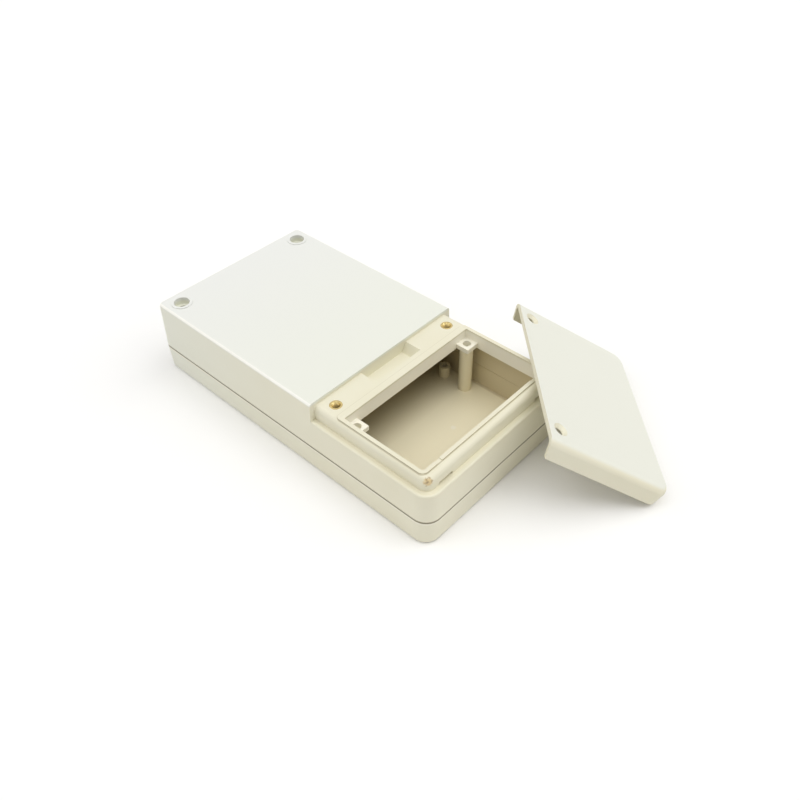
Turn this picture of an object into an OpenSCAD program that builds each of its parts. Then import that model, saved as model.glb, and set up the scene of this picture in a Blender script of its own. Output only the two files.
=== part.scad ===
// Handheld enclosure lying face down: two moulded shells with a stepped-down compartment end,
// two brass inserts, and the compartment cover taken off and leaning on the end of the case.
// X runs along the length toward the compartment end, Y across the width, Z up from the table.

/* [Case] */
// Length of the case
case_l = 151.5; // [140:0.5:165]
// Width of the case at the parting line
case_w = 80; // [76:0.5:90]
// Height of the roof above the table
case_h = 34; // [32:0.5:40]
// Height of the parting line above the table
parting_z = 12; // [10:0.5:13]
// Wall thickness of both shells
wall = 2.5; // [2:0.1:3]
// Thickness of the rear shell's roof
roof_t = 2.3; // [1.8:0.1:3]
// Corner radius at the compartment end
near_r = 6.5; // [5.5:0.1:9]
// Corner radius at the far end
far_r = 2.8; // [2.6:0.1:5]
// Smallest radius of the corners inside the shells
inner_r = 0.5; // [0.3:0.1:1]

/* [Edges] */
// Inset of the front shell's walls from the parting line to the table
front_draft = 0.4; // [0.1:0.1:0.6]
// Radius of the rolled edge round the front face
front_roll = 2; // [0.8:0.1:2]
// Inset of the rear shell's walls from the parting line to the roof
rear_draft = 0.8; // [0.3:0.1:1]
// Radius of the rolled edge round the roof
roof_roll = 1.3; // [0.6:0.1:1.5]
// Height of the shadow line along the parting line
shadow_h = 0.4; // [0.2:0.05:0.8]
// Depth of the shadow line
shadow_d = 0.5; // [0.2:0.05:0.8]

/* [Front shell] */
// Distance from the case outline to the recess in the front face
recess_margin = 6; // [4:0.5:12]
// Depth of the recess in the front face
recess_d = 2; // [0.5:0.1:2.5]
// Corner radius of the recess
recess_r = 3; // [1:0.5:6]
// Thickness of the floor above the recess
floor_t = 2.5; // [1.8:0.1:3]
// Height of the tongue above the parting line
tongue_h = 2.2; // [1:0.1:4]
// Thickness of the tongue
tongue_t = 1.1; // [0.8:0.1:1.4]
// Clearance between the tongue and the rear shell
tongue_gap = 0.15; // [0.05:0.05:0.3]
// Diameter of the screw posts
post_d = 5.6; // [5:0.1:7]
// Diameter of the pilot holes in the screw posts
post_pilot_d = 2.5; // [2:0.1:3]
// Depth of the pilot holes in the screw posts
post_pilot_depth = 12; // [8:0.5:16]
// Diameter of the board bosses
board_boss_d = 4.8; // [4:0.1:6]
// Height of the board bosses above the floor
board_boss_h = 5.5; // [3:0.5:7]
// Diameter of the pilot holes in the board bosses
board_pilot_d = 2.2; // [1.6:0.1:2.6]
// Distance from the step to the nearer pair of board bosses
board_from_step = 4.7; // [2:0.1:8]
// Spacing of the board bosses along the case
board_spacing_l = 74; // [60:0.5:76]
// Spacing of the board bosses across the case
board_spacing_w = 63.5; // [50:0.5:66]

/* [Case screws] */
// Distance from the far end to the counterbored screw holes
far_screw_from_end = 8.4; // [7.6:0.1:12]
// Distance from the long side to the counterbored screw holes
far_screw_from_side = 7.7; // [7:0.1:12]
// Diameter of the clearance holes for the case screws
screw_clear_d = 3.4; // [3.1:0.1:3.8]
// Diameter of the counterbores
counterbore_d = 6.6; // [6:0.1:7.2]
// Depth of the counterbores below the rim
counterbore_depth = 3; // [2:0.1:4]
// Diameter of the raised rim round each counterbore
rim_ring_d = 8.8; // [8:0.1:10]
// Height of that rim above the roof
rim_ring_h = 0.4; // [0.2:0.1:0.8]
// Diameter of the bosses under the counterbores
far_boss_d = 9; // [8.4:0.1:10]

/* [Compartment end] */
// Length of the stepped-down end
end_l = 57.7; // [54:0.1:62]
// Depth of the ledge below the roof
ledge_drop = 8.2; // [7.4:0.1:9]
// Width of the ledge
ledge_w = 2.4; // [2.2:0.1:2.8]
// Radius of the ledge's outer edge
ledge_roll = 0.8; // [0.3:0.1:1]
// Radius of the platform's rolled edge
platform_roll = 2; // [1:0.1:2.4]
// Height of the rim round the opening above the platform
rim_h = 0.4; // [0.2:0.05:0.6]
// Width of the rim on three sides of the opening
rim_w = 1.5; // [1:0.1:1.8]
// Width of the rim on the step side of the opening
band_w = 2.9; // [2:0.1:3]
// Distance from the end of the case to the opening
open_margin = 7.3; // [7:0.1:9]
// Length of the opening
open_l = 37.4; // [34:0.1:38.5]
// Distance from the long side to the opening
open_side = 5.6; // [5.4:0.1:6.4]
// Corner radius of the opening at the end of the case
open_r = 1; // [0.4:0.1:3]
// Corner radius of the opening beside the step
open_step_r = 0.5; // [0.2:0.1:1]
// Height of the wall that hangs round the opening
collar_h = 6.7; // [5.5:0.1:7.2]
// Thickness of the hanging wall on the step side
collar_t = 1.5; // [1.2:0.1:2]
// Length and width of the corner tabs
tab_s = 6.1; // [5.8:0.1:8]
// Thickness of the corner tabs
tab_t = 2; // [1.5:0.1:3]
// Depth of the corner tabs below the rim
tab_drop = 4.2; // [3:0.1:4.4]

/* [Finger pocket] */
// Width of the pocket at the surface
pocket_w = 25.2; // [18:0.1:30]
// Length of the pocket from the step
pocket_l = 7.7; // [5:0.1:8]
// Depth of the pocket
pocket_depth = 4; // [2:0.1:4.5]
// Inward slope of the pocket's ends over its depth
pocket_slope = 2.3; // [0:0.1:4]
// Thickness of the pocket's walls
pocket_wall = 1.4; // [1:0.1:1.8]

/* [Inserts] */
// Outer diameter of the brass inserts
insert_d = 5; // [4.6:0.1:5.4]
// Length of the brass inserts
insert_len = 5.5; // [4:0.1:6]
// Bore of the brass inserts
insert_bore_d = 2.5; // [2:0.1:3]
// Depth of the chamfer at the mouth of each insert
insert_chamfer = 0.5; // [0.2:0.1:0.7]
// Distance from the step to the inserts
insert_from_step = 5.4; // [4.6:0.1:6]
// Distance from the long side to the inserts
insert_from_side = 8.8; // [8:0.1:11]
// Diameter of the bosses that hold the inserts
insert_boss_d = 8.4; // [7.6:0.1:9]
// Material left under each insert
insert_boss_floor = 1; // [0.6:0.1:1.5]

/* [Hooks] */
// Distance of each hook slot from the case's middle plane
hook_y = 27.5; // [24:0.1:29]
// Width of the hook slots
hook_slot_w = 7; // [5:0.1:8]
// Height of the hook slots
hook_slot_h = 1.3; // [1:0.1:2]
// Depth of the hook slots
hook_slot_d = 1.6; // [1:0.1:2]
// Width of the notch in the rim above each hook slot
rim_notch_w = 2.6; // [1.5:0.1:4]
// Clearance of the cover's hooks in their slots
hook_gap = 0.25; // [0.1:0.05:0.4]

/* [Cover] */
// Thickness of the cover
cover_t = 1.5; // [1.2:0.1:1.8]
// Radius of the cover's rolled sides
cover_roll = 3; // [2.2:0.1:4]
// Clearance round the cover when it is fitted
cover_gap = 0.1; // [0.05:0.05:0.3]
// Set-back of the flange ends over the flange height
flange_setback = 3.3; // [0:0.1:5]
// Diameter of the countersinks in the cover
countersink_d = 5.8; // [5:0.1:6.4]
// Tilt of the leaning cover
cover_tilt = 33.3; // [31:0.1:36]
// Turn of the leaning cover about the vertical
cover_yaw = 44.7; // [43:0.1:47]
// Sideways distance on the cover from its middle to where it meets the case
lean_y = 2.3; // [-5:0.1:8]
// Clearance between the leaning cover and the case
lean_gap = 0.05; // [0.02:0.01:0.2]

/* [Hidden] */
$fn = 64;
shell_colour = [0.93, 0.92, 0.86];
brass_colour = [0.78, 0.6, 0.27];
// Overlap of shapes that are joined or cut
lap = 0.5;
// Overlap of a rolled edge with the faces beside it, which it crosses at a slight angle
roll_lap = 0.02;
half_l = case_l / 2;
half_w = case_w / 2;
step_x = half_l - end_l;
floor_z = recess_d + floor_t;
lip_z = case_h - cover_t - cover_gap;
platform_z = lip_z - rim_h;
ledge_z = case_h - ledge_drop;
collar_z = lip_z - collar_h;
tab_z = lip_z - tab_drop;
// Share of the rear shell's draft that the ledge has reached
ledge_draft = rear_draft * (ledge_z - parting_z) / (case_h - parting_z);
platform_inset = ledge_draft + ledge_w;
open_x1 = half_l - open_margin;
open_x0 = open_x1 - open_l;
open_hw = half_w - open_side;
band_x = open_x0 - band_w;
cavity_hw = half_w - wall;
// Height at which the wall under the ledge starts to turn inward
flare_z = collar_z - (cavity_hw - open_hw);
far_screw = [-half_l + far_screw_from_end, half_w - far_screw_from_side];
tab_screw = [open_x0 + tab_s / 2, open_hw - tab_s / 2];
insert_xy = [step_x + insert_from_step, half_w - insert_from_side];
insert_boss_z = platform_z - insert_len - insert_boss_floor;
post_top = tab_z - tab_t;
board_x = step_x + board_from_step;
cover_l = end_l - cover_gap - ledge_draft;
cover_h = ledge_drop - cover_gap;
cover_hw = half_w - ledge_draft;
cover_draft = rear_draft - ledge_draft;
cover_r = near_r - ledge_draft;
cover_hole_x = insert_from_step - cover_gap;
// Horizontal directions along and across the leaning cover
lean_along = [cos(cover_yaw), sin(cover_yaw)];
lean_across = [-sin(cover_yaw), cos(cover_yaw)];
// Highest reach of the platform's corner and of the rim's corner along the cover's normal
platform_corner = [half_l - near_r, half_w - near_r];
rim_corner = [open_x1 - open_r, open_hw - open_r];
platform_r = near_r - platform_inset;
platform_roll_r = platform_roll - roll_lap;
platform_reach = sin(cover_tilt) * (platform_corner * lean_along + platform_r - platform_roll_r)
    + cos(cover_tilt) * (platform_z - platform_roll_r) + platform_roll;
rim_reach = sin(cover_tilt) * (rim_corner * lean_along + open_r + rim_w) + cos(cover_tilt) * lip_z;
// Place of the middle of the cover's square edge
cover_edge_z = cover_l * sin(cover_tilt) + cover_h * cos(cover_tilt);
cover_along = (max(platform_reach, rim_reach) + cover_t + lean_gap - cos(cover_tilt) * cover_edge_z)
    / sin(cover_tilt);
cover_across = platform_corner * lean_across - lean_y;
cover_xy = cover_along * lean_along + cover_across * lean_across;
cover_place = [cover_xy[0], cover_xy[1], cover_edge_z];

// Section of one wall: foot at x = 0, inset by the draft at the top, with a rolled edge
module wall_section(depth, height, draft, roll) {
    inset = draft * (height - roll) / height;
    difference() {
        polygon([[-depth, 0], [0, 0], [-draft, height], [-depth, height]]);
        translate([roll_lap - inset - roll, height + roll_lap - roll]) difference() {
            square(roll + lap);
            circle(r = roll);
        }
    }
}

// Quarter turn of a section round a corner of radius r
module corner_sweep(r, height) {
    rotate_extrude(angle = 90) intersection() {
        translate([r, 0]) children();
        square([r + lap, height]);
    }
}

// Block with drafted walls, a rolled top edge and its own corner radius at each end
module rolled_block(x0, x1, hw, r0, r1, height, draft, roll) {
    translate([x0 + r0, 0, 0]) rotate([90, 0, 90]) linear_extrude(x1 - x0 - r0 - r1) {
        for (side = [0, 1]) mirror([side, 0]) translate([hw, 0]) {
            wall_section(hw + lap, height, draft, roll);
        }
    }
    for (end = [[x0, r0, 1], [x1, r1, 0]]) translate([end[0], 0, 0]) mirror([end[2], 0, 0]) {
        translate([0, hw - end[1], 0]) rotate([90, 0, 0]) linear_extrude(2 * (hw - end[1])) {
            wall_section(end[1] + lap, height, draft, roll);
        }
        for (side = [0, 1]) mirror([0, side, 0]) translate([-end[1], hw - end[1], 0]) {
            corner_sweep(end[1], height) wall_section(end[1] + lap, height, draft, roll);
        }
    }
}

// Outline of a rectangle from x0 to x1 with its own corner radius at each end
module rounded_plan(x0, x1, hw, r0, r1) {
    translate([x0 + r0, -hw]) square([x1 - x0 - r0 - r1, 2 * hw]);
    translate([x0, r0 - hw]) square([x1 - x0 - r1, 2 * (hw - r0)]);
    translate([x0 + r0, r1 - hw]) square([x1 - x0 - r0, 2 * (hw - r1)]);
    for (side = [-1, 1]) {
        translate([x0 + r0, side * (hw - r0)]) circle(r = r0);
        translate([x1 - r1, side * (hw - r1)]) circle(r = r1);
    }
}

// Outline of the case, moved inward by an inset
module case_plan(inset) {
    rounded_plan(inset - half_l, half_l - inset, half_w - inset,
                 max(far_r - inset, inner_r), max(near_r - inset, inner_r));
}

// Repeats its children on both sides of the case's middle plane
module both_sides() {
    for (side = [0, 1]) mirror([0, side, 0]) children();
}

// Everything of a shape on the compartment side of x
module beyond(x) {
    intersection() {
        children();
        translate([x, -case_w, 0]) cube([case_l, 2 * case_w, 2 * case_h]);
    }
}

// Everything of a shape on the far side of x
module before(x) {
    intersection() {
        children();
        translate([x - 2 * case_l, -case_w, 0]) cube([2 * case_l, 2 * case_w, 2 * case_h]);
    }
}

// Round post standing on the floor of the front shell, with a pilot hole from its top
module post(xy, d, top, pilot_d, pilot_depth) {
    translate([xy[0], xy[1], 0]) difference() {
        translate([0, 0, floor_z - lap]) cylinder(h = top - floor_z + lap, d = d);
        translate([0, 0, top - pilot_depth]) cylinder(h = pilot_depth + lap, d = pilot_d);
    }
}

module front_tray() {
    difference() {
        translate([0, 0, parting_z]) mirror([0, 0, 1]) {
            rolled_block(-half_l, half_l, half_w, far_r, near_r, parting_z, front_draft, front_roll);
        }
        translate([0, 0, floor_z]) linear_extrude(parting_z) case_plan(wall);
        translate([0, 0, -lap]) linear_extrude(recess_d + lap) {
            rounded_plan(recess_margin - half_l, half_l - recess_margin, half_w - recess_margin,
                         recess_r, recess_r);
        }
    }
}

module tongue() {
    translate([0, 0, parting_z - lap]) linear_extrude(tongue_h + lap) difference() {
        case_plan(wall - tongue_t);
        case_plan(wall);
    }
}

module front_shell() {
    color(shell_colour) {
        front_tray();
        tongue();
        both_sides() {
            post(far_screw, post_d, post_top, post_pilot_d, post_pilot_depth);
            post(tab_screw, post_d, post_top, post_pilot_d, post_pilot_depth);
            for (x = [board_x, board_x - board_spacing_l]) {
                post([x, board_spacing_w / 2], board_boss_d, floor_z + board_boss_h,
                     board_pilot_d, board_boss_h);
            }
        }
    }
}

// Outside of the rear shell: roofed part, ledge round the compartment end, and the platform on it
module rear_outside() {
    translate([0, 0, parting_z]) linear_extrude(shadow_h + lap) case_plan(shadow_d);
    translate([0, 0, parting_z + shadow_h]) {
        before(step_x) {
            rolled_block(-half_l, half_l, half_w, far_r, near_r, case_h - parting_z - shadow_h,
                         rear_draft, roof_roll);
        }
        beyond(step_x - lap) {
            rolled_block(-half_l, half_l, half_w, far_r, near_r, ledge_z - parting_z - shadow_h,
                         ledge_draft, ledge_roll);
            rolled_block(-half_l, half_l - platform_inset, half_w - platform_inset, far_r,
                         platform_r, platform_z - parting_z - shadow_h, 0, platform_roll);
        }
    }
    both_sides() translate([far_screw[0], far_screw[1], case_h - roof_t]) {
        cylinder(h = roof_t + rim_ring_h, d = rim_ring_d);
    }
}

// Space inside the rear shell, with the wall turning inward under the ledge
module rear_cavity() {
    translate([0, 0, parting_z - lap]) linear_extrude(flare_z - parting_z + lap) case_plan(wall);
    translate([0, 0, parting_z - lap]) linear_extrude(case_h - roof_t - parting_z + lap) {
        intersection() {
            case_plan(wall);
            translate([-case_l, -case_w]) square([case_l + step_x - wall, 2 * case_w]);
        }
    }
    intersection() {
        translate([0, 0, flare_z]) linear_extrude(collar_z - flare_z) case_plan(wall);
        translate([step_x - wall - lap, 0, 0]) rotate([90, 0, 90]) linear_extrude(case_l) {
            polygon([[-cavity_hw, flare_z], [-open_hw, collar_z],
                     [open_hw, collar_z], [cavity_hw, flare_z]]);
        }
        translate([0, case_w, 0]) rotate([90, 0, 0]) linear_extrude(2 * case_w) {
            polygon([[-half_l, flare_z], [-half_l, collar_z],
                     [open_x1, collar_z], [half_l - wall, flare_z]]);
        }
    }
    translate([step_x - wall - lap, -open_hw, collar_z - lap]) {
        cube([open_x0 - collar_t - step_x + wall + lap, 2 * open_hw,
              platform_z - roof_t - collar_z + lap]);
    }
    translate([0, 0, collar_z - lap]) linear_extrude(case_h) {
        rounded_plan(open_x0, open_x1, open_hw, open_step_r, open_r);
    }
    translate([0, 0, parting_z - lap]) linear_extrude(tongue_h + tongue_gap + lap) {
        case_plan(wall - tongue_t - tongue_gap);
    }
}

// Raised rim round the opening, wider on the step side
module opening_rim() {
    translate([0, 0, platform_z - lap]) linear_extrude(rim_h + lap) difference() {
        rounded_plan(band_x, open_x1 + rim_w, open_hw + rim_w, rim_w, open_r + rim_w);
        rounded_plan(open_x0, open_x1, open_hw, open_step_r, open_r);
    }
}

// Tub that closes the finger pocket underneath
module pocket_tub() {
    translate([step_x - wall, -pocket_w / 2 - pocket_wall, platform_z - pocket_depth - pocket_wall]) {
        cube([pocket_l + pocket_wall + wall, pocket_w + 2 * pocket_wall,
              pocket_depth + pocket_wall - lap]);
    }
}

// Finger pocket with sloped ends, open to the step wall
module pocket_cut() {
    bottom_hw = pocket_w / 2 - pocket_slope;
    top_hw = pocket_w / 2;
    translate([step_x, 0, platform_z]) rotate([90, 0, 90]) linear_extrude(pocket_l) {
        polygon([[-bottom_hw, -pocket_depth], [bottom_hw, -pocket_depth], [top_hw, 0], [top_hw, rim_h],
                 [-top_hw, rim_h], [-top_hw, 0]]);
    }
}

// Bosses, tabs and tub inside the rear shell
module rear_inner_parts() {
    pocket_tub();
    both_sides() {
        translate([far_screw[0], far_screw[1], post_top]) {
            cylinder(h = case_h - roof_t - post_top + lap, d = far_boss_d);
        }
        translate([insert_xy[0], insert_xy[1], insert_boss_z]) {
            cylinder(h = platform_z - insert_boss_z - lap, d = insert_boss_d);
        }
        translate([open_x0 - lap, open_hw - tab_s, post_top]) cube([tab_s + lap, tab_s + lap, tab_t]);
    }
}

// Round holes, hook slots and rim notches of the rear shell
module rear_holes() {
    both_sides() {
        translate([far_screw[0], far_screw[1], post_top - lap]) cylinder(h = case_h, d = screw_clear_d);
        translate([far_screw[0], far_screw[1], case_h + rim_ring_h - counterbore_depth]) {
            cylinder(h = case_h, d = counterbore_d);
        }
        translate([tab_screw[0], tab_screw[1], post_top - lap]) {
            cylinder(h = tab_t + 2 * lap, d = screw_clear_d);
        }
        translate([insert_xy[0], insert_xy[1], platform_z - insert_len]) {
            cylinder(h = insert_len + lap, d = insert_d);
        }
        translate([half_l - platform_inset - hook_slot_d, hook_y - hook_slot_w / 2, ledge_z]) {
            cube([hook_slot_d + lap, hook_slot_w, hook_slot_h]);
        }
        translate([open_x1 - lap, hook_y - rim_notch_w / 2, platform_z]) {
            cube([rim_w + 2 * lap, rim_notch_w, rim_h + lap]);
        }
    }
}

module rear_shell() {
    color(shell_colour) difference() {
        union() {
            difference() {
                rear_outside();
                rear_cavity();
            }
            opening_rim();
            rear_inner_parts();
        }
        pocket_cut();
        rear_holes();
    }
}

// Section of the cover's plate with its rolled side and flange
module cover_section(depth) {
    difference() {
        wall_section(depth, cover_h, cover_draft, cover_roll);
        translate([-cover_t, -lap]) {
            wall_section(depth, cover_h - cover_t + lap, cover_draft, cover_roll - cover_t);
        }
    }
}

// Cover in its own frame: square edge at x = 0, outer face at z = 0, flanges downward
module cover_pan() {
    both_sides() {
        translate([0, 0, -cover_h]) rotate([90, 0, 90]) linear_extrude(cover_l - cover_r) {
            translate([cover_hw, 0]) cover_section(cover_hw + lap);
        }
        translate([cover_l - cover_r, cover_hw - cover_r, 0]) {
            translate([0, 0, -cover_h]) corner_sweep(cover_r, cover_h) cover_section(cover_r + lap);
        }
    }
    translate([cover_l, cover_hw - cover_r, -cover_h]) rotate([90, 0, 0]) {
        linear_extrude(2 * (cover_hw - cover_r)) cover_section(cover_r + lap);
    }
}

// Hooks inside the cover's end flange
module cover_hooks() {
    reach = hook_slot_d - hook_gap + ledge_w - cover_t - cover_draft;
    hook_w = hook_slot_w - 2 * hook_gap;
    hook_x = cover_l - cover_t - cover_draft - reach;
    both_sides() translate([hook_x, hook_y - hook_w / 2, hook_gap - cover_h]) {
        cube([reach + lap, hook_w, hook_slot_h - 2 * hook_gap]);
    }
}

// Set-back ends of the flanges and the countersunk screw holes
module cover_cuts() {
    translate([0, case_w, 0]) rotate([90, 0, 0]) linear_extrude(2 * case_w) {
        polygon([[-lap, -cover_t], [0, -cover_t],
                 [flange_setback, -cover_h - lap], [-lap, -cover_h - lap]]);
    }
    both_sides() translate([cover_hole_x, insert_xy[1], 0]) {
        translate([0, 0, -cover_h]) cylinder(h = cover_h + lap, d = screw_clear_d);
        translate([0, 0, (screw_clear_d - countersink_d) / 2]) {
            cylinder(h = (countersink_d - screw_clear_d) / 2, d1 = screw_clear_d, d2 = countersink_d);
        }
    }
}

// The cover leans with its end flange on the table and its underside on the platform's corner
module compartment_cover() {
    color(shell_colour) translate(cover_place) rotate([0, cover_tilt, cover_yaw]) {
        difference() {
            union() {
                cover_pan();
                cover_hooks();
            }
            cover_cuts();
        }
    }
}

// Brass insert with a chamfered bore, flush with the platform
module insert(side) {
    color(brass_colour) translate([insert_xy[0], side * insert_xy[1], platform_z - insert_len]) {
        difference() {
            cylinder(h = insert_len, d = insert_d);
            translate([0, 0, -lap]) cylinder(h = insert_len + 2 * lap, d = insert_bore_d);
            translate([0, 0, insert_len - insert_chamfer]) {
                cylinder(h = insert_chamfer, d1 = insert_bore_d, d2 = insert_bore_d + 2 * insert_chamfer);
            }
        }
    }
}

module insert_left() {
    insert(-1);
}

module insert_right() {
    insert(1);
}

front_shell();
rear_shell();
compartment_cover();
insert_left();
insert_right();
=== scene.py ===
"""Looks of a pale moulded handheld enclosure that lies face down with its compartment cover taken off.

Everything is in metres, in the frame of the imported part: X along the case toward the compartment
end, Y across it, Z up from the table.
"""
import math

import bmesh
import bpy
from mathutils import Matrix, Vector


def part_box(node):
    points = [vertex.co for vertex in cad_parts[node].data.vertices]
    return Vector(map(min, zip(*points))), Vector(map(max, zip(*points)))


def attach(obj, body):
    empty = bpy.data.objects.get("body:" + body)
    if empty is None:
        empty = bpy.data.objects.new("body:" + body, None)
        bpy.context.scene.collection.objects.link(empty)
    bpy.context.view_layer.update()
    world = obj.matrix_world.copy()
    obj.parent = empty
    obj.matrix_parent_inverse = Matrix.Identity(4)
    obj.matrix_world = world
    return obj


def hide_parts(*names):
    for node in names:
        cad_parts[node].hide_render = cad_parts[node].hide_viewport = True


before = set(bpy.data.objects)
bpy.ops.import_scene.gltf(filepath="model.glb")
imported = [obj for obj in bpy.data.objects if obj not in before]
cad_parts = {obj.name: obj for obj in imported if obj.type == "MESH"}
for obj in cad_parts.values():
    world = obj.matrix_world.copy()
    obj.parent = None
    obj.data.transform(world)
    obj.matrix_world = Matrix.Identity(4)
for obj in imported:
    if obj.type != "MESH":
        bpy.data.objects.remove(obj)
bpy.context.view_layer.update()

MM = 0.001

# Camera: the photograph's view, for a square image
CAMERA_AIM = Vector((15.87, 10.96, 0.0)) * MM
CAMERA_DISTANCE = 343.13 * MM
CAMERA_AZIMUTH = math.radians(43.235)
CAMERA_ELEVATION = math.radians(43.316)
CAMERA_ROLL = math.radians(-1.05)
CAMERA_LENS = 36.473
CAMERA_SENSOR = 36.0

# Light: four soft lamps, each with its azimuth, elevation and strength, and an even room
LAMPS = {
    "overhead": (0.0, 90.0, 0.95),
    "right": (133.0, 48.0, 1.10),
    "left": (313.0, 40.0, 0.70),
    "front": (25.0, 55.0, 0.35),
}
LAMP_SPREAD = math.radians(60.0)
LAMP_COLOUR = (1.0, 1.0, 1.0)
ROOM_STRENGTH = 0.28
ROOM_COLOUR = (1.03, 1.0, 0.95)
FLOOR_SIZE = 6.0
FLOOR_COLOUR = (0.95, 0.95, 0.95)
FLOOR_ROUGHNESS = 0.9

# Colours, linear
CREAM = (0.775, 0.74, 0.575)
CREAM_PALE = (0.795, 0.765, 0.61)
CREAM_FAR = (0.765, 0.768, 0.665)
# Painted sheen on the roof, toward its far and near ends, and a painted highlight on its rolled edge
ROOF_SHEEN_FAR = (0.785, 0.795, 0.765)
ROOF_SHEEN_NEAR = (0.785, 0.80, 0.715)
EDGE_HIGHLIGHT = (0.95, 0.94, 0.88)
# Painted shade in the joint between the shells, and a painted highlight on the edge under it
JOINT_SHADE = (0.26, 0.22, 0.14)
JOINT_HIGHLIGHT = (0.86, 0.83, 0.70)
# Painted sheen on the faces turned like the cover's plate
PLATE_SHEEN = (0.785, 0.79, 0.705)
# Painted light on the wall that hangs round the opening
COLLAR_LIGHT = (0.90, 0.87, 0.75)
# Painted warm bounce light on the inner floor; painted shade on the inner walls, deepest under the
# roof
INNER_FLOOR_BOUNCE = (0.83, 0.765, 0.56)
INNER_WALL_SHADE = (0.63, 0.55, 0.37)
INNER_DEEP_SHADE = (0.38, 0.31, 0.17)
# Brown blotch colour, and a painted golden glint on part of it
STAIN_BROWN = (0.36, 0.24, 0.12)
STAIN_GLINT = (0.72, 0.56, 0.28)
INNER_SPOT_PALE = (0.86, 0.82, 0.68)
# Painted shade along the foot of the rim round the opening
RIM_SHADE = (0.40, 0.35, 0.22)
BRASS = (0.72, 0.57, 0.26)
BRASS_DARK = (0.34, 0.25, 0.10)

# Grain, waves and mottle of the moulded plastic, with the span of each noise that is used
GRAIN_SIZE = 0.30 * MM
GRAIN_DEPTH = 0.012 * MM
GRAIN_SPAN = (0.3, 0.7)
WAVE_SIZE = 9.0 * MM
WAVE_DEPTH = 0.02 * MM
MOTTLE_SIZE = 28.0 * MM
MOTTLE_SPAN = (0.35, 0.65)
PLASTIC_ROUGHNESS = (0.40, 0.52)

# Painted sheen on outer faces: the roof above this height, and a painted highlight on its rolled edge,
# which faces between upright and level; and painted sheen on what faces as the cover's plate does
ROOF_BAND = (32.6 * MM, 33.4 * MM)
ROLL_FROM = (0.2, 0.4)
ROLL_TO = (0.9, 0.98)
PLATE_FACING = (0.7, 0.95)

# Run along the case over which its tone changes
TONE_RUN = (-70.0 * MM, 30.0 * MM)

# Joint between the shells: height of the painted shade along it and of the painted highlight on the
# edge under it, and how far each fades
JOINT_SHADE_Z = 12.35 * MM
JOINT_HIGHLIGHT_Z = 11.5 * MM
JOINT_FADE = (0.25 * MM, 0.6 * MM)
JOINT_SHARE = 0.85

# Inside faces, with painted warm bounce light and painted shade: their reach from the middle, where
# the shade is painted deepest under the roof, and the wall that hangs round the opening, whose light
# is painted
INNER_SIDE = (35.8 * MM, 36.6 * MM)
INNER_REACH = (38.3 * MM, 38.5 * MM)
END_REACH = (73.9 * MM, 74.1 * MM)
CORNER_REACH = (109.8 * MM, 110.2 * MM)
INNER_LOW = (3.9 * MM, 4.1 * MM)
INNER_HIGH = (25.0 * MM, 26.0 * MM)
INNER_DEPTH = (34.0 * MM, 14.0 * MM)
COLLAR_HIGH = (31.4 * MM, 31.8 * MM)
COLLAR_FROM = (30.2 * MM, 30.8 * MM)
COLLAR_TO = (69.2 * MM, 69.6 * MM)
COLLAR_SIDE = (35.4 * MM, 35.8 * MM)

# Foot of the rim round the opening, where a thin line of shade is painted: the rim's outline and
# height
RIM_MIDDLE = 49.05 * MM
RIM_HALF_LENGTH = 20.9 * MM
RIM_HALF_WIDTH = 35.9 * MM
RIM_CORNER_R = 2.0 * MM
RIM_LINE_AT = 0.1 * MM
RIM_LINE_FADE = (0.12 * MM, 0.4 * MM)
RIM_LOW = (31.4 * MM, 31.6 * MM)
RIM_HIGH = (32.15 * MM, 32.3 * MM)
RIM_SHARE = 0.7

# Brown blotch with a painted golden glint on the platform's rolled corner, and a pale spot on the
# inner floor
STAIN_AT = Vector((71.95, -35.83, 30.43)) * MM
STAIN_REACH = 2.4 * MM
STAIN_PATCH = 1.5 * MM
STAIN_PATCH_SPAN = (0.35, 0.55)
STAIN_EDGE = (1.0, 1.35)
STAIN_SHARE = 0.9
INNER_SPOT_AT = Vector((45.98, 9.91, 4.5)) * MM
INNER_SPOT_REACH = 1.3 * MM
INNER_SPOT_EDGE = (1.0, 1.5)
INNER_SPOT_SHARE = 0.7

# Threaded brass inserts
THREAD_PITCH = 0.5 * MM
THREAD_DEPTH = 0.22 * MM
THREAD_SEGMENTS = 72
ROWS_PER_TURN = 10
INSERT_CHAMFER = 0.5 * MM
INSERT_EDGE = 0.1 * MM
INSERT_BORE_R = 1.25 * MM
TARNISH_DEPTH = 1.5 * MM
TARNISH_SIZE = 0.8 * MM
TARNISH_SPAN = (0.4, 0.75)
BRASS_ROUGHNESS = (0.22, 0.42)
TURNING_SIZE = 0.12 * MM
TURNING_DEPTH = 0.006 * MM


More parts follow.
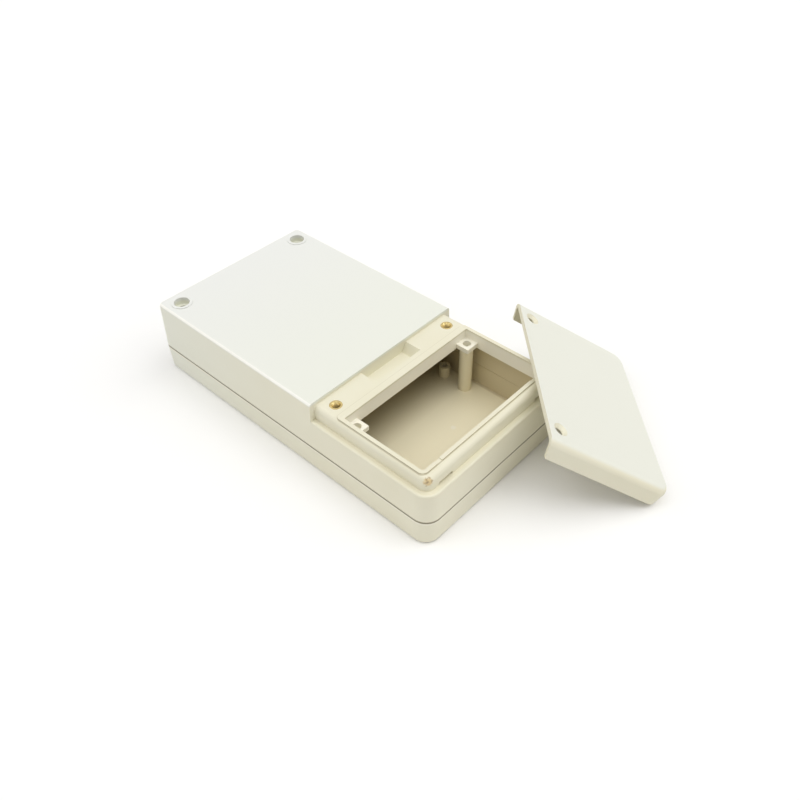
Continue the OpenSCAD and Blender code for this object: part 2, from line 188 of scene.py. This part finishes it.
class Nodes:
    """Short calls for building one material's node tree."""

    def __init__(self, name):
        self.material = bpy.data.materials.new(name)
        self.material.use_nodes = True
        self.tree = self.material.node_tree
        self.shader = self.tree.nodes["Principled BSDF"]

    def add(self, kind, **inputs):
        """A new node of a kind, with its sockets set or linked by name (blanks written as _)."""
        node = self.tree.nodes.new(kind)
        for name, value in inputs.items():
            self.put(node, name.replace("_", " "), value)
        return node

    def put(self, node, socket, value):
        """Sets one socket of a node to a value, or links another node's output to it."""
        target = node.inputs[socket]
        if isinstance(value, bpy.types.NodeSocket):
            self.tree.links.new(value, target)
        else:
            target.default_value = value

    def place(self):
        """Object coordinates, which are metres in the part's own frame."""
        return self.add("ShaderNodeTexCoord").outputs["Object"]

    def parts(self, vector):
        """The X, Y and Z of a vector."""
        return self.add("ShaderNodeSeparateXYZ", Vector=vector).outputs

    def noise(self, place, size, detail=2.0):
        """Noise whose features are about as large as size."""
        return self.add("ShaderNodeTexNoise", Vector=place, Scale=1.0 / size,
                        Detail=detail).outputs["Fac"]

    def math(self, operation, a, b=0.0):
        """One sum on two numbers or sockets."""
        node = self.tree.nodes.new("ShaderNodeMath")
        node.operation = operation
        for slot, value in zip(node.inputs, (a, b)):
            if isinstance(value, bpy.types.NodeSocket):
                self.tree.links.new(value, slot)
            else:
                slot.default_value = value
        return node.outputs[0]

    def distance(self, place, spot):
        """Distance of each place from one spot."""
        node = self.tree.nodes.new("ShaderNodeVectorMath")
        node.operation = "DISTANCE"
        self.tree.links.new(place, node.inputs[0])
        node.inputs[1].default_value = spot
        return node.outputs["Value"]

    def spread(self, value, low, high, to_low=0.0, to_high=1.0):
        """Value from low to high, spread over another range and held at its ends."""
        return self.add("ShaderNodeMapRange", Value=value, From_Min=low, From_Max=high,
                        To_Min=to_low, To_Max=to_high).outputs["Result"]

    def mix(self, share, a, b):
        """Colour between a and b."""
        node = self.tree.nodes.new("ShaderNodeMix")
        node.data_type = "RGBA"
        for key, value in (("Factor", share), (6, a), (7, b)):
            socket = node.inputs[key]
            if isinstance(value, bpy.types.NodeSocket):
                self.tree.links.new(value, socket)
            else:
                socket.default_value = value if isinstance(value, float) else (*value, 1.0)
        return node.outputs[2]

    def bump(self, height, depth, under=None):
        """Normal of a relief of that depth, laid over another relief."""
        node = self.add("ShaderNodeBump", Height=height, Strength=1.0, Distance=depth)
        if under is not None:
            self.put(node, "Normal", under)
        return node.outputs["Normal"]


def plastic(name, *layers):
    """Off-white moulded plastic: fine grain, faint waves, a slight mottle, and layers of colour."""
    m = Nodes(name)
    place = m.place()
    grain = m.noise(place, GRAIN_SIZE, detail=3.0)
    wave = m.noise(place, WAVE_SIZE, detail=1.0)
    mottle = m.spread(m.noise(place, MOTTLE_SIZE, detail=4.0), *MOTTLE_SPAN)
    along = m.parts(place)["X"]
    colour = m.mix(m.spread(along, *TONE_RUN), CREAM_FAR, m.mix(mottle, CREAM, CREAM_PALE))
    for layer in layers:
        colour = layer(m, place, colour)
    m.put(m.shader, "Base Color", colour)
    m.put(m.shader, "Roughness", m.spread(grain, *GRAIN_SPAN, *PLASTIC_ROUGHNESS))
    m.put(m.shader, "Normal", m.bump(grain, GRAIN_DEPTH, m.bump(wave, WAVE_DEPTH)))
    return m.material


def painted_roof_sheen(m, place, colour):
    """Painted sheen on what lies as high as the roof, and a painted highlight on its rolled edge, over
    a colour.
    """
    along, _, height = m.parts(place)
    normal = m.add("ShaderNodeNewGeometry").outputs["True Normal"]
    facing = m.parts(normal)["Z"]
    roll = m.math("MULTIPLY", m.spread(facing, *ROLL_FROM), m.spread(facing, *ROLL_TO, 1.0, 0.0))
    roll = m.math("MULTIPLY", roll, m.math("SUBTRACT", 1.0, within_walls(m, place)))
    roof = m.mix(m.spread(along, *TONE_RUN), ROOF_SHEEN_FAR, ROOF_SHEEN_NEAR)
    return m.mix(m.spread(height, *ROOF_BAND), colour, m.mix(roll, roof, EDGE_HIGHLIGHT))


def painted_collar_light(m, place, colour):
    """Painted light on the wall that hangs round the opening, over a colour."""
    along, across, height = m.parts(place)
    share = m.math("MULTIPLY", m.spread(height, *INNER_HIGH), m.spread(along, *COLLAR_FROM))
    side = m.math("ABSOLUTE", across)
    for value, reach in ((height, COLLAR_HIGH), (along, COLLAR_TO), (side, COLLAR_SIDE)):
        share = m.math("MULTIPLY", share, m.spread(value, *reach, 1.0, 0.0))
    return m.mix(share, colour, COLLAR_LIGHT)


def joint_shade_and_highlight(m, place, colour):
    """Painted shade along the joint between the shells and a painted highlight on the edge under it,
    over a colour.
    """
    height = m.parts(place)["Z"]
    inside = m.math("MULTIPLY", within_walls(m, place), JOINT_SHARE)
    outside = m.math("SUBTRACT", JOINT_SHARE, inside)
    for level, tone in ((JOINT_HIGHLIGHT_Z, JOINT_HIGHLIGHT), (JOINT_SHADE_Z, JOINT_SHADE)):
        away = m.math("ABSOLUTE", m.math("SUBTRACT", height, level))
        share = m.math("MULTIPLY", m.spread(away, *JOINT_FADE, 1.0, 0.0), outside)
        colour = m.mix(share, colour, tone)
    return colour


def rim_foot_shade(m, place, colour):
    """Thin line of painted shade along the foot of the rim round the opening, over a colour."""
    along, across, height = m.parts(place)
    past_end = m.math("SUBTRACT", m.math("ABSOLUTE", m.math("SUBTRACT", along, RIM_MIDDLE)),
                      RIM_HALF_LENGTH - RIM_CORNER_R)
    past_side = m.math("SUBTRACT", m.math("ABSOLUTE", across), RIM_HALF_WIDTH - RIM_CORNER_R)
    squares = [m.math("POWER", m.math("MAXIMUM", past, 0.0), 2.0) for past in (past_end, past_side)]
    outside = m.math("SUBTRACT", m.math("SQRT", m.math("ADD", *squares)), RIM_CORNER_R)
    away = m.math("ABSOLUTE", m.math("SUBTRACT", outside, RIM_LINE_AT))
    share = m.spread(away, *RIM_LINE_FADE, RIM_SHARE, 0.0)
    share = m.math("MULTIPLY", share, m.spread(height, *RIM_LOW))
    share = m.math("MULTIPLY", share, m.spread(height, *RIM_HIGH, 1.0, 0.0))
    return m.mix(share, colour, RIM_SHADE)


def within_walls(m, place):
    """Share of each place that lies inside the shells' outer faces: 1 inside, 0 on the outside."""
    along, across, _ = m.parts(place)
    side = m.math("ABSOLUTE", across)
    end = m.math("ABSOLUTE", along)
    share = 1.0
    corner = m.math("ADD", side, end)
    for value, reach in ((side, INNER_REACH), (end, END_REACH), (corner, CORNER_REACH)):
        share = m.math("MULTIPLY", share, m.spread(value, *reach, 1.0, 0.0))
    return share


def painted_inner_shade_and_bounce(m, place, colour):
    """Painted shade and warm bounce light inside the shells, darkest under the roof, over a colour."""
    along, across, height = m.parts(place)
    wall = m.mix(m.spread(m.math("ABSOLUTE", across), *INNER_SIDE), INNER_FLOOR_BOUNCE, INNER_WALL_SHADE)
    inner = m.mix(m.spread(along, *INNER_DEPTH), wall, INNER_DEEP_SHADE)
    band = m.math("MULTIPLY", m.spread(height, *INNER_LOW),
                  m.spread(height, *INNER_HIGH, 1.0, 0.0))
    return m.mix(m.math("MULTIPLY", within_walls(m, place), band), colour, inner)


def painted_plate_sheen(m, place, colour):
    """Painted sheen on what faces the same way as the cover's outer face, over a colour."""
    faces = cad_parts["compartment_cover"].data.polygons
    plate = max((face for face in faces if face.normal.z > 0), key=lambda face: face.area)
    node = m.add("ShaderNodeVectorMath")
    node.operation = "DOT_PRODUCT"
    m.tree.links.new(m.add("ShaderNodeNewGeometry").outputs["True Normal"], node.inputs[0])
    node.inputs[1].default_value = plate.normal
    return m.mix(m.spread(node.outputs["Value"], *PLATE_FACING), colour, PLATE_SHEEN)


def stain_and_glint(m, place, colour):
    """Small ragged brown blotch with a painted golden glint on part of it, over a colour."""
    away = m.math("DIVIDE", m.distance(place, STAIN_AT), STAIN_REACH)
    ragged = m.noise(place, STAIN_PATCH / 2, detail=3.0)
    share = m.spread(m.math("ADD", away, ragged), *STAIN_EDGE, STAIN_SHARE, 0.0)
    patch = m.spread(m.noise(place, STAIN_PATCH), *STAIN_PATCH_SPAN)
    return m.mix(share, colour, m.mix(patch, STAIN_BROWN, STAIN_GLINT))


def pale_inner_spot(m, place, colour):
    """Pale spot on the inner floor, over a colour."""
    away = m.math("DIVIDE", m.distance(place, INNER_SPOT_AT), INNER_SPOT_REACH)
    ragged = m.noise(place, INNER_SPOT_REACH, detail=2.0)
    share = m.spread(m.math("ADD", away, ragged), *INNER_SPOT_EDGE, INNER_SPOT_SHARE, 0.0)
    return m.mix(share, colour, INNER_SPOT_PALE)


def brass():
    """Turned brass with a little tarnish, which is thicker down in the bore."""
    m = Nodes("turned_brass")
    m.shader.inputs["Metallic"].default_value = 1.0
    place = m.place()
    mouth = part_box("insert_left")[1].z
    height = m.parts(place)["Z"]
    depth = m.spread(height, mouth - TARNISH_DEPTH, mouth, 1.0, 0.0)
    spots = m.spread(m.noise(place, TARNISH_SIZE, detail=4.0), *TARNISH_SPAN)
    tarnish = m.math("MAXIMUM", depth, spots)
    m.put(m.shader, "Base Color", m.mix(tarnish, BRASS, BRASS_DARK))
    m.put(m.shader, "Roughness", m.spread(tarnish, 0.0, 1.0, *BRASS_ROUGHNESS))
    m.put(m.shader, "Normal", m.bump(m.noise(place, TURNING_SIZE), TURNING_DEPTH))
    return m.material


def dress(node, material):
    """Gives one CAD node its material."""
    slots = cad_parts[node].data.materials
    slots.clear()
    slots.append(material)


def threaded_insert(node, material):
    """Brass insert with a cut thread in its bore, which stands for the plain CAD one."""
    low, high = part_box(node)
    axis = Vector(((low.x + high.x) / 2, (low.y + high.y) / 2, 0.0))
    outer_r = (high.x - low.x) / 2
    rows = insert_rows(low.z, high.z, outer_r)
    mesh = bmesh.new()
    angles = [2 * math.pi * i / THREAD_SEGMENTS for i in range(THREAD_SEGMENTS)]
    rings = [[mesh.verts.new(axis + row(angle)) for angle in angles] for row in rows]
    for ring, following in zip(rings, rings[1:] + rings[:1]):
        for i in range(THREAD_SEGMENTS):
            j = (i + 1) % THREAD_SEGMENTS
            mesh.faces.new((ring[i], ring[j], following[j], following[i]))
    bmesh.ops.recalc_face_normals(mesh, faces=mesh.faces)
    piece = bpy.data.objects.new(node + "_threaded", bpy.data.meshes.new(node + "_threaded"))
    mesh.to_mesh(piece.data)
    mesh.free()
    piece.data.materials.append(material)
    bpy.context.scene.collection.objects.link(piece)
    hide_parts(node)
    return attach(piece, "root")


def insert_rows(z0, z1, outer_r):
    """Rings of the insert's section, from the bottom rim up the outside and down the bore."""
    mouth_r = INSERT_BORE_R + INSERT_CHAMFER
    thread_top = z1 - INSERT_CHAMFER
    turns = int((thread_top - z0) / THREAD_PITCH)
    count = turns * ROWS_PER_TURN
    plain = [(INSERT_BORE_R + THREAD_DEPTH, z0), (outer_r, z0), (outer_r, z1 - INSERT_EDGE),
             (outer_r - INSERT_EDGE, z1), (mouth_r, z1)]
    rows = [ring_of(r, z) for r, z in plain]
    rows += [thread_ring(thread_top - (thread_top - z0) * i / count) for i in range(1, count)]
    return rows


def ring_of(r, z):
    """Plain ring of radius r at height z."""
    return lambda angle: Vector((r * math.cos(angle), r * math.sin(angle), z))


def thread_ring(z):
    """Ring in the bore whose radius follows the thread's V round the turn."""
    def point(angle):
        phase = (z / THREAD_PITCH + angle / (2 * math.pi)) % 1.0
        r = INSERT_BORE_R + THREAD_DEPTH * abs(2 * phase - 1)
        return Vector((r * math.cos(angle), r * math.sin(angle), z))
    return point


def add_camera():
    """Camera at the photograph's viewing angle."""
    data = bpy.data.cameras.new("camera")
    data.lens = CAMERA_LENS
    data.sensor_width = CAMERA_SENSOR
    camera = bpy.data.objects.new("camera", data)
    turn = Matrix.Rotation(CAMERA_AZIMUTH, 4, "Z")
    tilt = Matrix.Rotation(math.pi / 2 - CAMERA_ELEVATION, 4, "X")
    roll = Matrix.Rotation(CAMERA_ROLL, 4, "Z")
    back = Matrix.Translation((0.0, 0.0, CAMERA_DISTANCE))
    camera.matrix_world = Matrix.Translation(CAMERA_AIM) @ turn @ tilt @ roll @ back
    bpy.context.scene.collection.objects.link(camera)
    bpy.context.scene.camera = camera


def add_lamp(name, azimuth, elevation, strength):
    """Broad soft lamp, like a softbox in a studio; angles in degrees."""
    data = bpy.data.lights.new(name, "SUN")
    data.energy = strength
    data.angle = LAMP_SPREAD
    data.color = LAMP_COLOUR
    lamp = bpy.data.objects.new(name, data)
    lamp.matrix_world = (Matrix.Rotation(math.radians(azimuth), 4, "Z")
                         @ Matrix.Rotation(math.radians(90.0 - elevation), 4, "X"))
    bpy.context.scene.collection.objects.link(lamp)


def add_room():
    """Even room light, plain white where the camera sees it or a surface mirrors it."""
    world = bpy.data.worlds.new("room")
    world.use_nodes = True
    bpy.context.scene.world = world
    tree = world.node_tree
    fill = tree.nodes["Background"]
    fill.inputs["Color"].default_value = (*ROOM_COLOUR, 1.0)
    fill.inputs["Strength"].default_value = ROOM_STRENGTH
    white = tree.nodes.new("ShaderNodeBackground")
    white.inputs["Color"].default_value = (1.0, 1.0, 1.0, 1.0)
    path = tree.nodes.new("ShaderNodeLightPath")
    seen = path.outputs["Is Camera Ray"]
    for kind in ("Is Glossy Ray", "Is Transmission Ray"):
        either = tree.nodes.new("ShaderNodeMath")
        either.operation = "MAXIMUM"
        tree.links.new(seen, either.inputs[0])
        tree.links.new(path.outputs[kind], either.inputs[1])
        seen = either.outputs[0]
    mix = tree.nodes.new("ShaderNodeMixShader")
    tree.links.new(seen, mix.inputs[0])
    tree.links.new(fill.outputs[0], mix.inputs[1])
    tree.links.new(white.outputs[0], mix.inputs[2])
    tree.links.new(mix.outputs[0], tree.nodes["World Output"].inputs["Surface"])


def add_floor():
    """Plain pale table top under the case."""
    mesh = bmesh.new()
    bmesh.ops.create_grid(mesh, x_segments=1, y_segments=1, size=FLOOR_SIZE / 2)
    floor = bpy.data.objects.new("floor", bpy.data.meshes.new("floor"))
    mesh.to_mesh(floor.data)
    mesh.free()
    m = Nodes("floor_white")
    m.put(m.shader, "Base Color", (*FLOOR_COLOUR, 1.0))
    m.put(m.shader, "Roughness", FLOOR_ROUGHNESS)
    m.put(m.shader, "Specular IOR Level", 0.0)
    floor.data.materials.append(m.material)
    bpy.context.scene.collection.objects.link(floor)


bpy.context.scene.view_settings.view_transform = "Standard"
add_camera()
for lamp, setting in LAMPS.items():
    add_lamp(lamp, *setting)
add_room()
add_floor()
# Layers over the plastic: painted shade and warm bounce light inside, painted light on the collar,
# painted sheen
# and highlights on the roof, joint and cover, painted shade at the rim's foot and the joint, and a
# painted glint
dress("front_shell", plastic("front_plastic", painted_inner_shade_and_bounce, joint_shade_and_highlight, pale_inner_spot))
dress("rear_shell", plastic("rear_plastic", painted_inner_shade_and_bounce, painted_collar_light, painted_roof_sheen, rim_foot_shade,
                            joint_shade_and_highlight, stain_and_glint))
dress("compartment_cover", plastic("cover_plastic", painted_plate_sheen))
insert_brass = brass()
for insert in ("insert_left", "insert_right"):
    threaded_insert(insert, insert_brass)
